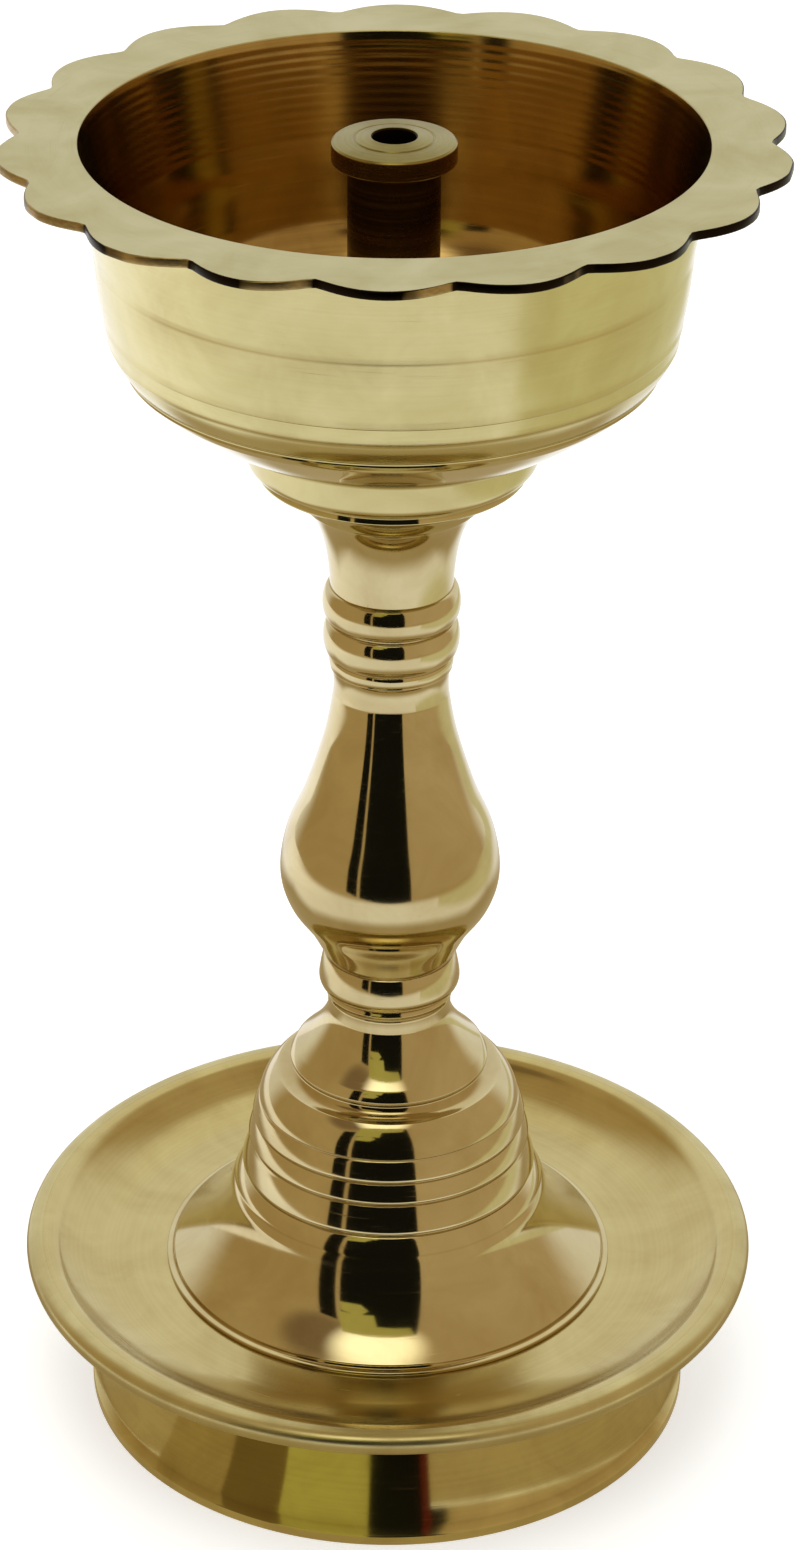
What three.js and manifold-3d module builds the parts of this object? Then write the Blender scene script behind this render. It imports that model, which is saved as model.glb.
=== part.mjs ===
// A pedestal diya: a small brass oil lamp on a turned stand.
// Every casting is turned about one upright axis. The pieces screw together on that axis.
// Millimetres, +Z up, origin on the axis at the surface that the foot stands on.

import * as THREE from "three";
import { mergeVertices } from "three/addons/utils/BufferGeometryUtils.js";
import Module from "manifold-3d";

const wasm = await Module();
wasm.setup();

// Roundness of the turned pieces, in flats per turn
const ROUND = 36;
const SMALL_ROUND = 24;

// Foot and drip tray, one casting
const FOOT_RADIUS = 40.1;
const FOOT_EDGE_HEIGHT = 1.3;
const FOOT_WALL = 2.6;
const SKIRT_TOP_RADIUS = 36.6;
const SKIRT_TOP_HEIGHT = 16.4;
const TRAY_FLOOR = 19.2;
const TRAY_THICKNESS = 2.2;
const DISH_RADIUS = 35.5;
const TRAY_RADIUS = 48.5;
const TRAY_RIM_WIDTH = 4.2;
const TRAY_RIM_TOP = 23.2;
const TRAY_RIM_UNDERSIDE = 20.3;
const BOSS_RADIUS = 9;
const BOSS_UNDERSIDE = 14.5;

// Bell shaped pedestal, hollow
const BELL_RADIUS = 29.7;
const BELL_TOP = 59.6;
const BELL_NECK_RADIUS = 8;
const BELL_BAND_RADIUS = 21;
const BELL_BAND_HEIGHT = 30.2;
const BELL_LIP_RADIUS = 12.95;
const BELL_LIP_HEIGHT = 50.3;
const BELL_CAVITY_TOP = 45.8;

// Baluster stem, solid
const STEM_TOP = 130.6;
const STEM_TOP_RADIUS = 11;
const STEM_BELLY_RADIUS = 14.15;
const STEM_BELLY_HEIGHT = 78.4;
const STEM_NECK_RADIUS = 7.3;
const STEM_NECK_HEIGHT = 104.3;

// Oil bowl with its scalloped rim, one casting
const BOWL_FLOOR = 144.3;
const BOWL_FLOOR_RADIUS = 16;
const BOWL_COLLAR_RADIUS = 18.6;
const BOWL_COLLAR_TOP = 141.3;
const MOUTH_RADIUS = 37.6;
const RIM_TOP = 177.8;
const RIM_THICKNESS = 1.1;
const RIM_TIP_RADIUS = 47.45;
const RIM_VALLEY_RADIUS = 44.45;
const PETALS = 18;
const STEPS_PER_PETAL = 6;
const PETAL_TURN = THREE.MathUtils.degToRad(-1);

// Wick holder: a tube that screws into the bowl's floor, with a drilled disc on top
const WICK_TUBE_RADIUS = 5.6;
const WICK_BORE_RADIUS = 2.65;
const WICK_BORE_BOTTOM = 145.4;
const OIL_PORT_RADIUS = 1.6;
const OIL_PORT_HEIGHT = 147.4;
const WICK_DISC_RADIUS = 7.55;
const WICK_DISC_UNDERSIDE = 175.1;
const WICK_DISC_EDGE = 177.25;
const WICK_DISC_TOP = 178;
const WICK_COLLAR_RADIUS = 3.9;
const WICK_COLLAR_BOTTOM = 172;

// Threaded joints: radius of the screw, and the running gap round it
const TIE_RADIUS = 3;
const TIE_BOTTOM = 6.5;
const TIE_TOP = 71.5;
const TIE_CLEARANCE_RADIUS = 3.2;
const STUD_RADIUS = 4.5;
const STUD_BOTTOM = 123.1;
const STUD_TOP = 136.7;
const WICK_SCREW_RADIUS = 3.85;
const WICK_SCREW_BOTTOM = 139.3;
const THREAD_GAP = 0.05;
const END_GAP = 0.3;

// Nut and washer under the tray
const WASHER_RADIUS = 6.25;
const WASHER_THICKNESS = 1.2;
const NUT_ACROSS_FLATS = 10;
const NUT_HEIGHT = 5;

// Outline of a turned piece, drawn as radius and height from point to point
function outline(startRadius, startHeight) {
  const points = [new THREE.Vector2(startRadius, startHeight)];
  const pen = {
    points,
    line(radius, height) {
      points.push(new THREE.Vector2(radius, height));
      return pen;
    },
    // A bend from here to the end point, pulled towards the corner point
    bend(cornerRadius, cornerHeight, radius, height, steps = 4) {
      const from = points[points.length - 1];
      const corner = new THREE.Vector2(cornerRadius, cornerHeight);
      const curve = new THREE.QuadraticBezierCurve(from, corner, new THREE.Vector2(radius, height));
      points.push(...curve.getPoints(steps).slice(1));
      return pen;
    },
    // A half round from here to the end point, standing proud by the bulge
    bead(radius, height, bulge, steps = 5) {
      const from = points[points.length - 1].clone();
      const to = new THREE.Vector2(radius, height);
      for (let step = 1; step <= steps; step += 1) {
        const angle = (Math.PI * step) / steps;
        const point = from.clone().lerp(to, (1 - Math.cos(angle)) / 2);
        point.x += bulge * Math.sin(angle);
        points.push(point);
      }
      return pen;
    },
    // A smooth line from here through each of the given points
    sweep(places, steps) {
      const through = places.map(([radius, height]) => new THREE.Vector2(radius, height));
      const curve = new THREE.SplineCurve([points[points.length - 1], ...through]);
      points.push(...curve.getPoints(steps).slice(1));
      return pen;
    },
  };
  return pen;
}

// Closed solid of a geometry: one vertex for each corner, and none of the flat triangles at the axis
function toSolid(geometry) {
  const bare = geometry.clone();
  bare.deleteAttribute("normal");
  bare.deleteAttribute("uv");
  const welded = mergeVertices(bare, 1e-4);
  const index = welded.index.array;
  const triVerts = [];
  for (let i = 0; i < index.length; i += 3) {
    const [a, b, c] = [index[i], index[i + 1], index[i + 2]];
    if (a !== b && b !== c && c !== a) {
      triVerts.push(a, b, c);
    }
  }
  const mesh = new wasm.Mesh({
    numProp: 3,
    vertProperties: new Float32Array(welded.attributes.position.array),
    triVerts: new Uint32Array(triVerts),
  });
  return new wasm.Manifold(mesh);
}

// Geometry of a closed solid
function toGeometry(solid) {
  const mesh = solid.getMesh();
  const geometry = new THREE.BufferGeometry();
  geometry.setAttribute("position", new THREE.BufferAttribute(mesh.vertProperties, 3));
  geometry.setIndex(new THREE.BufferAttribute(mesh.triVerts, 1));
  geometry.computeVertexNormals();
  return geometry;
}

// Solid of revolution about the upright axis
function turned(shape, flats = ROUND) {
  const geometry = new THREE.LatheGeometry(shape.points, flats);
  geometry.rotateX(Math.PI / 2);
  return toSolid(geometry);
}

// Upright slab of a flat shape, between two heights
function slab(shape, bottom, top) {
  const geometry = new THREE.ExtrudeGeometry(shape, { depth: top - bottom, bevelEnabled: false });
  geometry.translate(0, 0, bottom);
  return toSolid(geometry);
}

// Level round bar through the axis, for cutting a cross hole
function crossBar(radius, halfLength, height, turn) {
  const geometry = new THREE.CylinderGeometry(radius, radius, 2 * halfLength, SMALL_ROUND / 2);
  geometry.rotateX(Math.PI / 2);
  geometry.rotateZ(turn);
  geometry.translate(0, 0, height);
  return toSolid(geometry);
}

// Finishes of the brass
function brass(color, roughness) {
  return new THREE.MeshStandardMaterial({ color, roughness, metalness: 1 });
}
const polishedBrass = brass(0xc4ad6c, 0.18);
const satinBrass = brass(0xc9bb8c, 0.42);
const darkBrass = brass(0x8d7440, 0.35);
const fixingBrass = brass(0xa8925a, 0.5);

const lamp = new THREE.Group();

function add(name, solid, material) {
  const mesh = new THREE.Mesh(toGeometry(solid), material);
  mesh.name = name;
  lamp.add(mesh);
}

// Foot and drip tray: a flared skirt under a shallow dish with a rolled rim
function dripTray() {
  const trayUnderside = TRAY_FLOOR - TRAY_THICKNESS;
  const rimInnerRadius = TRAY_RADIUS - TRAY_RIM_WIDTH;
  const rimCrest = TRAY_RADIUS - TRAY_RIM_WIDTH / 2;
  const footInnerRadius = FOOT_RADIUS - FOOT_WALL;
  const skirtInnerRadius = SKIRT_TOP_RADIUS - FOOT_WALL;
  const shape = outline(TIE_CLEARANCE_RADIUS, TRAY_FLOOR)
    .line(TIE_CLEARANCE_RADIUS, BOSS_UNDERSIDE)
    .line(BOSS_RADIUS, BOSS_UNDERSIDE)
    .line(BOSS_RADIUS, trayUnderside)
    .line(skirtInnerRadius - 1, trayUnderside)
    .line(skirtInnerRadius, trayUnderside - 1)
    .bend(skirtInnerRadius + 0.4, 6, footInnerRadius, 0)
    .line(FOOT_RADIUS, 0)
    .line(FOOT_RADIUS, FOOT_EDGE_HEIGHT)
    .line(FOOT_RADIUS - 0.9, FOOT_EDGE_HEIGHT + 0.9)
    .bend(SKIRT_TOP_RADIUS + 0.3, 6.5, SKIRT_TOP_RADIUS, SKIRT_TOP_HEIGHT)
    .line(SKIRT_TOP_RADIUS + 1.6, SKIRT_TOP_HEIGHT + 1.1)
    .line(TRAY_RADIUS - 1.1, TRAY_RIM_UNDERSIDE)
    .bend(TRAY_RADIUS, TRAY_RIM_UNDERSIDE + 0.1, TRAY_RADIUS, TRAY_RIM_UNDERSIDE + 1.3, 2)
    .bend(TRAY_RADIUS, TRAY_RIM_TOP, rimCrest, TRAY_RIM_TOP, 3)
    .bend(rimInnerRadius + 0.6, TRAY_RIM_TOP, rimInnerRadius - 0.3, TRAY_RIM_TOP - 1, 3)
    .bend(DISH_RADIUS + 5.5, TRAY_FLOOR, DISH_RADIUS, TRAY_FLOOR)
    .line(TIE_CLEARANCE_RADIUS, TRAY_FLOOR);
  return turned(shape);
}

// A narrow groove cut into the outline, ending a little further up
function groove(pen, radius, height, depth) {
  return pen
    .line(radius, height - 0.35)
    .line(radius - depth, height - 0.15)
    .line(radius - depth, height + 0.15)
    .line(radius, height + 0.35);
}

// Bell: a foot lip, a trumpet flare, a banded dome, an overhanging lip and a hollow neck
function bellPedestal() {
  const shape = outline(BELL_RADIUS - 3.1, TRAY_FLOOR)
    .line(BELL_RADIUS, TRAY_FLOOR)
    .line(BELL_RADIUS, TRAY_FLOOR + 0.5)
    .line(BELL_RADIUS - 0.8, TRAY_FLOOR + 0.6)
    .line(BELL_RADIUS - 1, TRAY_FLOOR + 1.1)
    .bend(BELL_BAND_RADIUS + 1.2, 24.2, BELL_BAND_RADIUS, BELL_BAND_HEIGHT, 5)
    .bead(19.65, 33.1, 0.15, 3);
  groove(shape, 19.3, 33.8, 0.4);
  groove(shape, 18.5, 38, 0.35);
  groove(shape, 18, 40.9, 0.35);
  shape
    .bend(17.3, 45.6, 14.7, 48.2)
    .bend(12.6, 48.3, 12.5, BELL_LIP_HEIGHT - 0.8, 2)
    .line(BELL_LIP_RADIUS, BELL_LIP_HEIGHT - 0.5)
    .line(BELL_LIP_RADIUS, BELL_LIP_HEIGHT)
    .line(12.4, BELL_LIP_HEIGHT + 1.1)
    .bend(8.6, 54.9, BELL_NECK_RADIUS, BELL_TOP - 1.8)
    .line(BELL_NECK_RADIUS, BELL_TOP)
    .line(TIE_CLEARANCE_RADIUS, BELL_TOP)
    .line(TIE_CLEARANCE_RADIUS, BELL_CAVITY_TOP)
    .line(10.5, BELL_CAVITY_TOP)
    .bend(15, BELL_CAVITY_TOP - 0.4, 15.7, 40.5, 2)
    .line(16.7, 34)
    .line(18.6, 29.8)
    .bend(19.8, 23.2, BELL_RADIUS - 3.7, TRAY_FLOOR + 0.9, 3)
    .line(BELL_RADIUS - 3.1, TRAY_FLOOR);
  return turned(shape);
}

// Stem: a bead on the bell, a vase shaped belly, three beads and a flared neck
function balusterStem() {
  const tieHole = TIE_RADIUS + THREAD_GAP;
  const studHole = STUD_RADIUS + THREAD_GAP;
  const shape = outline(0, TIE_TOP + END_GAP)
    .line(tieHole, TIE_TOP + END_GAP)
    .line(tieHole, BELL_TOP)
    .line(BELL_NECK_RADIUS + 0.1, BELL_TOP)
    .line(BELL_NECK_RADIUS + 0.3, 60.4)
    .line(BELL_NECK_RADIUS, 60.9)
    .bend(9.4, 61.6, 9.1, 63, 3)
    .bend(8.8, 64.6, 8.45, 66, 2)
    .sweep([
      [10.4, 70],
      [13.1, 74.1],
      [STEM_BELLY_RADIUS, STEM_BELLY_HEIGHT],
      [13.3, 84],
      [10.9, 90],
      [8.45, 98],
      [STEM_NECK_RADIUS, STEM_NECK_HEIGHT],
    ], 15)
    .line(STEM_NECK_RADIUS, 105.6)
    .bead(7.4, 109.4, 0.42, 4)
    .line(7.8, 109.7)
    .bead(7.8, 114.3, 0.82)
    .line(7.85, 114.6)
    .bead(7.95, 119.4, 0.86)
    .bend(8.25, 127.3, STEM_TOP_RADIUS, STEM_TOP)
    .line(studHole, STEM_TOP)
    .line(studHole, STUD_BOTTOM - END_GAP)
    .line(0, STUD_BOTTOM - END_GAP);
  return turned(shape);
}

// Scalloped edge: rounded petals that meet in sharper valleys
function scallopedEdge() {
  const edge = new THREE.Shape();
  const count = PETALS * STEPS_PER_PETAL;
  for (let step = 0; step < count; step += 1) {
    const angle = (2 * Math.PI * step) / count;
    const swell = Math.pow(Math.abs(Math.cos((PETALS * angle) / 2)), 0.9);
    const radius = RIM_VALLEY_RADIUS + (RIM_TIP_RADIUS - RIM_VALLEY_RADIUS) * swell;
    const place = [radius * Math.sin(angle + PETAL_TURN), -radius * Math.cos(angle + PETAL_TURN)];
    if (step === 0) {
      edge.moveTo(...place);
    } else {
      edge.lineTo(...place);
    }
  }
  edge.closePath();
  return edge;
}

// Round hole for a flat shape
function roundHole(radius, flats) {
  const hole = new THREE.Path();
  for (let step = 0; step < flats; step += 1) {
    const angle = (2 * Math.PI * step) / flats;
    const place = [radius * Math.cos(angle), radius * Math.sin(angle)];
    if (step === 0) {
      hole.moveTo(...place);
    } else {
      hole.lineTo(...place);
    }
  }
  hole.closePath();
  return hole;
}

// Oil bowl: collar, rounded belly and open mouth, with the flat scalloped rim joined on
function oilBowl() {
  const wickHole = WICK_SCREW_RADIUS + THREAD_GAP;
  const studHole = STUD_RADIUS + THREAD_GAP;
  const rimUnderside = RIM_TOP - RIM_THICKNESS;
  const lipTop = RIM_TOP - 0.5;
  const body = outline(0, STUD_TOP + END_GAP)
    .line(studHole, STUD_TOP + END_GAP)
    .line(studHole, STEM_TOP)
    .line(STEM_TOP_RADIUS + 0.2, STEM_TOP)
    .bend(12.4, 133.7, 16.7, 134.8, 4)
    .bend(BOWL_COLLAR_RADIUS - 0.1, 135.3, BOWL_COLLAR_RADIUS, 137.1, 3)
    .bend(BOWL_COLLAR_RADIUS - 0.4, 139.1, BOWL_COLLAR_RADIUS - 0.2, BOWL_COLLAR_TOP, 3)
    .sweep([
      [22.1, 142],
      [26.8, 145],
      [31.5, 148.6],
      [34.3, 152.9],
      [35.5, 158],
      [36.05, 163],
      [36.8, 168.5],
      [37.5, 173.5],
    ], 11)
    .bend(38.1, 176.2, 40.2, rimUnderside + 0.3, 4)
    .line(40.2, lipTop)
    .line(MOUTH_RADIUS - 0.3, lipTop)
    .line(MOUTH_RADIUS - 1.1, lipTop - 0.7)
    .sweep([
      [35.7, 172],
      [34.3, 163],
      [33.6, 158],
      [32.3, 153.6],
      [29.4, 149.8],
      [24.8, 146.6],
      [BOWL_FLOOR_RADIUS + 3.6, 144.9],
      [BOWL_FLOOR_RADIUS, BOWL_FLOOR],
    ], 9)
    .line(wickHole, BOWL_FLOOR)
    .line(wickHole, WICK_SCREW_BOTTOM - END_GAP)
    .line(0, WICK_SCREW_BOTTOM - END_GAP);
  const edge = scallopedEdge();
  edge.holes.push(roundHole(MOUTH_RADIUS, ROUND));
  return turned(body).add(slab(edge, rimUnderside, RIM_TOP));
}

// Wick tube: screwed foot, long bore for the wick, cross holes that let the oil in, and a seat for the disc
function wickTube() {
  const seatRadius = WICK_COLLAR_RADIUS + THREAD_GAP;
  const seatBottom = WICK_COLLAR_BOTTOM - END_GAP;
  const shape = outline(0, WICK_SCREW_BOTTOM)
    .line(WICK_SCREW_RADIUS, WICK_SCREW_BOTTOM)
    .line(WICK_SCREW_RADIUS, BOWL_FLOOR)
    .line(WICK_TUBE_RADIUS, BOWL_FLOOR)
    .line(WICK_TUBE_RADIUS, WICK_DISC_UNDERSIDE)
    .line(seatRadius, WICK_DISC_UNDERSIDE)
    .line(seatRadius, seatBottom)
    .line(WICK_BORE_RADIUS, seatBottom)
    .line(WICK_BORE_RADIUS, WICK_BORE_BOTTOM)
    .line(0, WICK_BORE_BOTTOM);
  let tube = turned(shape, SMALL_ROUND);
  for (const turn of [0, Math.PI / 2]) {
    tube = tube.subtract(crossBar(OIL_PORT_RADIUS, WICK_TUBE_RADIUS + 1, OIL_PORT_HEIGHT, turn));
  }
  return tube;
}

// Wick disc: slightly domed, drilled for the wick, with a short collar that fits the tube
function wickDisc() {
  const shape = outline(WICK_BORE_RADIUS, WICK_COLLAR_BOTTOM)
    .line(WICK_COLLAR_RADIUS, WICK_COLLAR_BOTTOM)
    .line(WICK_COLLAR_RADIUS, WICK_DISC_UNDERSIDE)
    .line(WICK_DISC_RADIUS - 0.2, WICK_DISC_UNDERSIDE)
    .line(WICK_DISC_RADIUS, WICK_DISC_UNDERSIDE + 0.2)
    .line(WICK_DISC_RADIUS, WICK_DISC_EDGE - 0.2)
    .line(WICK_DISC_RADIUS - 0.25, WICK_DISC_EDGE)
    .line(WICK_BORE_RADIUS + 2.1, WICK_DISC_TOP - 0.3)
    .line(WICK_BORE_RADIUS + 0.2, WICK_DISC_TOP)
    .line(WICK_BORE_RADIUS, WICK_DISC_TOP - 0.2)
    .line(WICK_BORE_RADIUS, WICK_COLLAR_BOTTOM);
  return turned(shape, ROUND);
}

// Plain round bar between two heights, with chamfered ends
function roundBar(radius, bottom, top) {
  const chamfer = 0.5;
  const shape = outline(0, bottom)
    .line(radius - chamfer, bottom)
    .line(radius, bottom + chamfer)
    .line(radius, top - chamfer)
    .line(radius - chamfer, top)
    .line(0, top);
  return turned(shape, SMALL_ROUND);
}

// Washer that bears on the tray's boss
function tieWasher() {
  const disc = new THREE.Shape();
  disc.absarc(0, 0, WASHER_RADIUS, 0, 2 * Math.PI);
  disc.holes.push(roundHole(TIE_CLEARANCE_RADIUS, SMALL_ROUND));
  return slab(disc, BOSS_UNDERSIDE - WASHER_THICKNESS, BOSS_UNDERSIDE);
}

// Six sided nut under the washer
function tieNut() {
  const top = BOSS_UNDERSIDE - WASHER_THICKNESS;
  const cornerRadius = NUT_ACROSS_FLATS / 2 / Math.cos(Math.PI / 6);
  const hexagon = new THREE.Shape();
  hexagon.setFromPoints(roundHole(cornerRadius, 6).getPoints());
  hexagon.holes.push(roundHole(TIE_RADIUS + THREAD_GAP, SMALL_ROUND));
  return slab(hexagon, top - NUT_HEIGHT, top);
}

add("drip_tray", dripTray(), polishedBrass);
add("bell_pedestal", bellPedestal(), polishedBrass);
add("baluster_stem", balusterStem(), polishedBrass);
add("tie_rod", roundBar(TIE_RADIUS, TIE_BOTTOM, TIE_TOP), fixingBrass);
add("tie_washer", tieWasher(), fixingBrass);
add("tie_nut", tieNut(), fixingBrass);
add("bowl_stud", roundBar(STUD_RADIUS, STUD_BOTTOM, STUD_TOP), fixingBrass);
add("oil_bowl", oilBowl(), satinBrass);
add("wick_tube", wickTube(), darkBrass);
add("wick_disc", wickDisc(), satinBrass);

export default lamp;
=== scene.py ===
import math

import bpy
import numpy as np
from mathutils import Matrix, Vector


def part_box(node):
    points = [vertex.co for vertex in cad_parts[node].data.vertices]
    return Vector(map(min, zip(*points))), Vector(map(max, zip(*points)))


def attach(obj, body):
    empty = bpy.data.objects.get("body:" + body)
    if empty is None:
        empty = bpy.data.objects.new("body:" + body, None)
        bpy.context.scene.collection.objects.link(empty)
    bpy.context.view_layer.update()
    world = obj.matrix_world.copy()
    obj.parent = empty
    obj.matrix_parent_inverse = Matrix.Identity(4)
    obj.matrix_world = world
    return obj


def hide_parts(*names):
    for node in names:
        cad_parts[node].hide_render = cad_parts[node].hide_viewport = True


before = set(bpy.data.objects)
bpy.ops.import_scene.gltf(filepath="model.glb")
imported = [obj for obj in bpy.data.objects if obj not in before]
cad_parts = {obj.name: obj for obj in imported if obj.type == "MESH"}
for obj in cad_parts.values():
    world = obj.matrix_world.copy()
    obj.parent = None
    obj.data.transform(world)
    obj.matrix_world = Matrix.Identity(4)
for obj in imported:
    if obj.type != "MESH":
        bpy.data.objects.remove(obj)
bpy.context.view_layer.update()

# Drip tray and foot
# One brass casting: a flared foot skirt under a shallow dish with a rolled rim. It is turned on a lathe all
# over and buffed, apart from the inside of the foot, which keeps its coarse cuts. The lamp stands on it.
MM = 0.001
ROUND = 288

TRAY_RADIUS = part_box("drip_tray")[1].x / MM
TRAY_RIM_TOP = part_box("drip_tray")[1].z / MM
TRAY_RIM_UNDERSIDE = TRAY_RIM_TOP - 2.9
TRAY_RIM_WIDTH = 4.2
TRAY_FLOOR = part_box("bell_pedestal")[0].z / MM
TRAY_UNDERSIDE = TRAY_FLOOR - 2.2
DISH_RADIUS = 35.5
FOOT_RADIUS = 40.1
FOOT_WALL = 2.6
SKIRT_TOP_RADIUS = 36.6
SKIRT_TOP = 16.4
BOSS_RADIUS = 9
BOSS_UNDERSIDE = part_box("tie_washer")[1].z / MM
TIE_HOLE_RADIUS = 3.2


class Outline:
    """Half section of a turned piece: radius and height in mm, point by point, each with a finish."""

    def __init__(self, radius, height, finish=0):
        self.points = [(radius, height)]
        self.finishes = []
        self.finish = finish

    def turn_to(self, finish):
        self.finish = finish
        return self

    def line(self, radius, height):
        self.points.append((radius, height))
        self.finishes.append(self.finish)
        return self

    def bend(self, corner_radius, corner_height, radius, height, steps=14):
        start = self.points[-1]
        for step in range(1, steps + 1):
            t = step / steps
            ends = ((1 - t) ** 2, 2 * t * (1 - t), t * t)
            places = (start, (corner_radius, corner_height), (radius, height))
            self.line(*(sum(w * p[axis] for w, p in zip(ends, places)) for axis in (0, 1)))
        return self

    def bead(self, radius, height, bulge, steps=20):
        start = self.points[-1]
        for step in range(1, steps + 1):
            angle = math.pi * step / steps
            t = (1 - math.cos(angle)) / 2
            here = start[0] + (radius - start[0]) * t + bulge * math.sin(angle)
            self.line(here, start[1] + (height - start[1]) * t)
        return self

    def groove(self, radius, height, depth, width=0.5):
        self.line(radius, height - width / 2)
        return self.bead(radius, height + width / 2, -depth, steps=6)

    def sweep(self, places, steps=12):
        """A smooth line from here through each of the places."""
        knots = np.array([self.points[-1], *places], float)
        last = len(knots) - 1
        for span in range(last):
            before, start, end, after = (knots[min(max(span + k, 0), last)] for k in (-1, 0, 1, 2))
            for step in range(1, steps + 1):
                t = step / steps
                square = 2 * before - 5 * start + 4 * end - after
                cube = 3 * (start - end) + after - before
                self.line(*(start + 0.5 * t * (end - before + t * (square + t * cube))))
        return self


def soften(outline, edge):
    """The outline's points and finishes, with its sharp corners rounded and a point close beside each."""
    sharp, smallest_cut, side_share, long_side, corner_steps = math.radians(24), 0.01, 0.4, 6, 3
    places = [np.array(p, float) for p in outline.points]
    closed = np.allclose(places[0], places[-1])
    points, finishes = [places[0]], []
    for i in range(1, len(places) - 1):
        before, here, after = places[i - 1], places[i], places[i + 1]
        into, out = here - before, after - here
        long_in, long_out = np.linalg.norm(into), np.linalg.norm(out)
        bend = math.acos(max(-1.0, min(1.0, float(into @ out) / (long_in * long_out))))
        cut = min(edge * math.tan(bend / 2), side_share * long_in, side_share * long_out)
        if bend < sharp or cut < smallest_cut:
            points.append(here)
            finishes.append(outline.finishes[i - 1])
            continue
        start, end = here - into / long_in * cut, here + out / long_out * cut
        if long_in > long_side * cut:
            points.append(start - into / long_in * cut)
            finishes.append(outline.finishes[i - 1])
        for step in range(corner_steps + 1):
            t = step / corner_steps
            points.append((1 - t) ** 2 * start + 2 * t * (1 - t) * here + t * t * end)
            finishes.append(outline.finishes[i - 1])
        if long_out > long_side * cut:
            points.append(end + out / long_out * cut)
            finishes.append(outline.finishes[i])
    points.append(places[-1])
    finishes.append(outline.finishes[-1])
    return np.array(points), finishes, closed


def smooth(mesh, crease=35):
    mesh.shade_smooth()
    mesh.set_sharp_from_angle(angle=math.radians(crease))


def placed(name, data):
    """A new object at the scene's origin."""
    thing = bpy.data.objects.new(name, data)
    bpy.context.scene.collection.objects.link(thing)
    return thing


def turned(name, outline, materials, flats=ROUND, edge=0.2, widest=None):
    """A piece turned about the upright axis. widest(angle) cuts it back to a shape that isn't round."""
    points, finishes, closed = soften(outline, edge)
    following = np.roll(points, -1, axis=0)
    if np.sum(points[:, 0] * following[:, 1] - following[:, 0] * points[:, 1]) < 0:
        points, finishes = points[::-1], finishes[::-1]
    rings = len(points) - 1 if closed else len(points)
    corners, index = [], {}
    for k in range(flats):
        angle = 2 * math.pi * k / flats
        limit = widest(angle) if widest else math.inf
        for i in range(rings):
            radius, height = min(points[i][0], limit), points[i][1]
            if radius < 1e-6 and k > 0:
                index[k, i] = index[0, i]
                continue
            index[k, i] = len(corners)
            corners.append((radius * math.cos(angle) * MM, radius * math.sin(angle) * MM, height * MM))
    faces, slots = [], []
    for k in range(flats):
        for i in range(len(points) - 1):
            ring = ((k, i), ((k + 1) % flats, i), ((k + 1) % flats, (i + 1) % rings), (k, (i + 1) % rings))
            face = list(dict.fromkeys(index[place] for place in ring))
            if len(face) > 2:
                faces.append(face)
                slots.append(finishes[i])
    mesh = bpy.data.meshes.new(name)
    mesh.from_pydata(corners, [], faces)
    for material in materials:
        mesh.materials.append(material)
    mesh.polygons.foreach_set("material_index", slots)
    smooth(mesh)
    return placed(name, mesh)


def add_node(tree, kind, inputs=None, **settings):
    """Adds a node with its settings. An input is a value, a node's first output or an output socket."""
    node = tree.nodes.new(kind)
    for name, value in settings.items():
        setattr(node, name, value)
    for socket, value in (inputs or {}).items():
        if isinstance(value, bpy.types.Node):
            value = value.outputs[0]
        if isinstance(value, bpy.types.NodeSocket):
            tree.links.new(value, node.inputs[socket])
        else:
            node.inputs[socket].default_value = value
    return node


def linear(colour):
    """Linear colour of an sRGB hex colour."""
    parts = [int(colour[i : i + 2], 16) / 255 for i in (1, 3, 5)]
    return (*(c / 12.92 if c <= 0.04045 else ((c + 0.055) / 1.055) ** 2.4 for c in parts), 1.0)


def blank_material(name):
    material = bpy.data.materials.new(name)
    material.use_nodes = True
    material.node_tree.nodes.clear()
    return material, material.node_tree


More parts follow.
